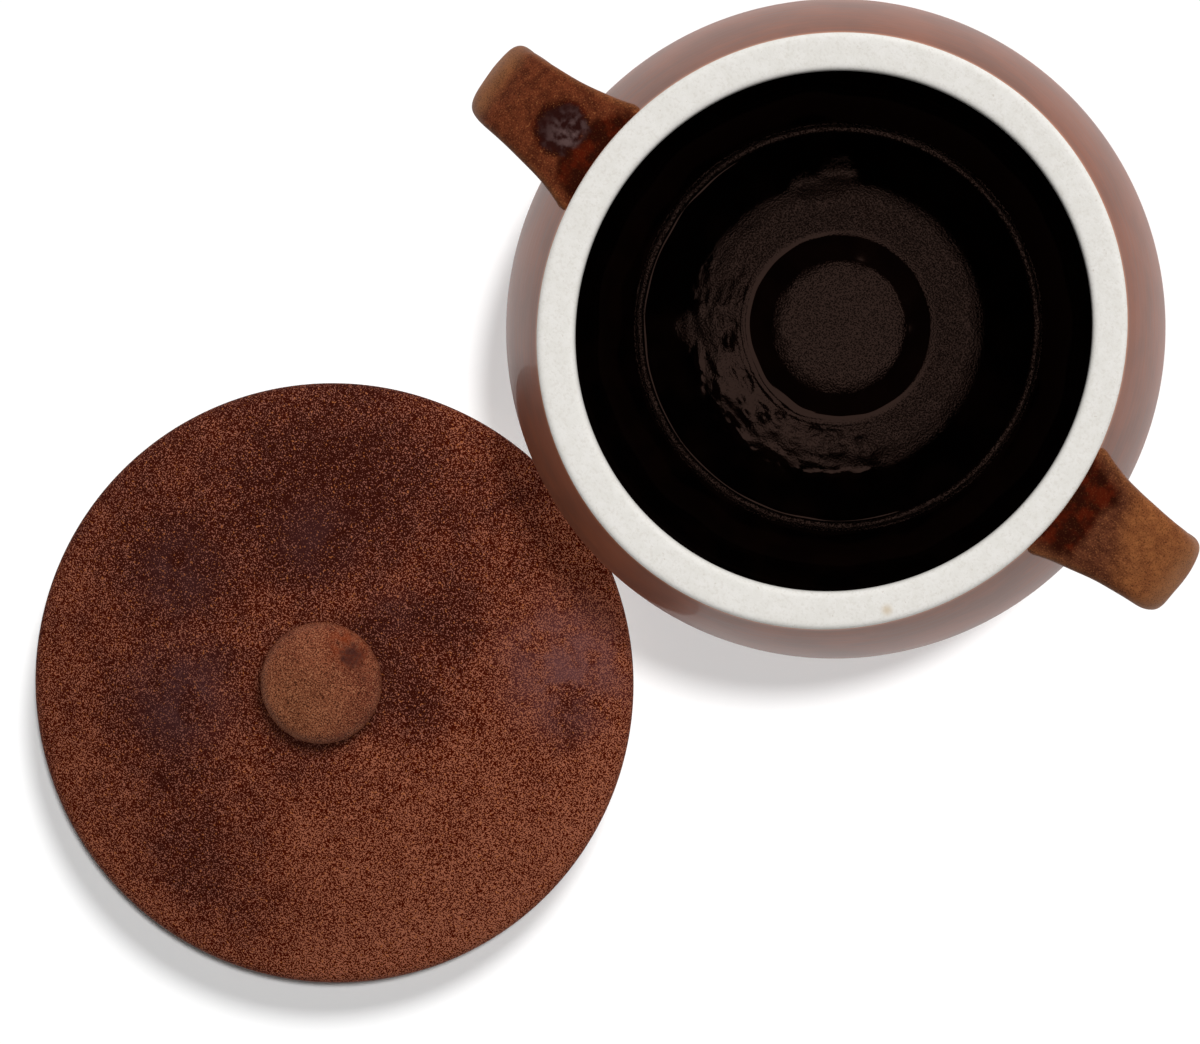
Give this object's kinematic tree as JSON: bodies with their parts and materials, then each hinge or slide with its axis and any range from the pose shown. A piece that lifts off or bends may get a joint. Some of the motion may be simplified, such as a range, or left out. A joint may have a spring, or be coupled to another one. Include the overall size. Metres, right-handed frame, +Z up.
{
  "type": "stoneware crock with loose lid",
  "caption": "Round-bellied stoneware crock with ear handles, a flat bare rim and a loose domed lid with a knob, shown with the lid lying beside it.",
  "frame": {"origin": "centre of the crock's foot, on the table", "axes": "+X along the handles towards right_handle, +Z up along the crock's axis, -Y towards the lid"},
  "size_m": [0.2502, 0.3325, 0.134],
  "materials": {
    "brown_gloss_glaze": "glossy brown glaze outside, near-black glaze inside, bare cream clay on the rim and the foot",
    "amber_break_glaze": "brown glaze that breaks to tan on edges and pools dark and glossy at the roots",
    "speckled_glaze": "semi-matt red-brown glaze with fine orange-brown and dark speckle"
  },
  "bodies": {
    "crock": {"crock_body": "brown_gloss_glaze", "left_handle": "amber_break_glaze", "right_handle": "amber_break_glaze"},
    "loose_lid": {"lid": "speckled_glaze", "lid_knob": "speckled_glaze"}
  },
  "joints": [
    {"name": "lid_lift", "type": "slide", "parent": "crock", "child": "loose_lid", "axis": [0, 0, 1], "range_m": [0, 0.16]}
  ]
}
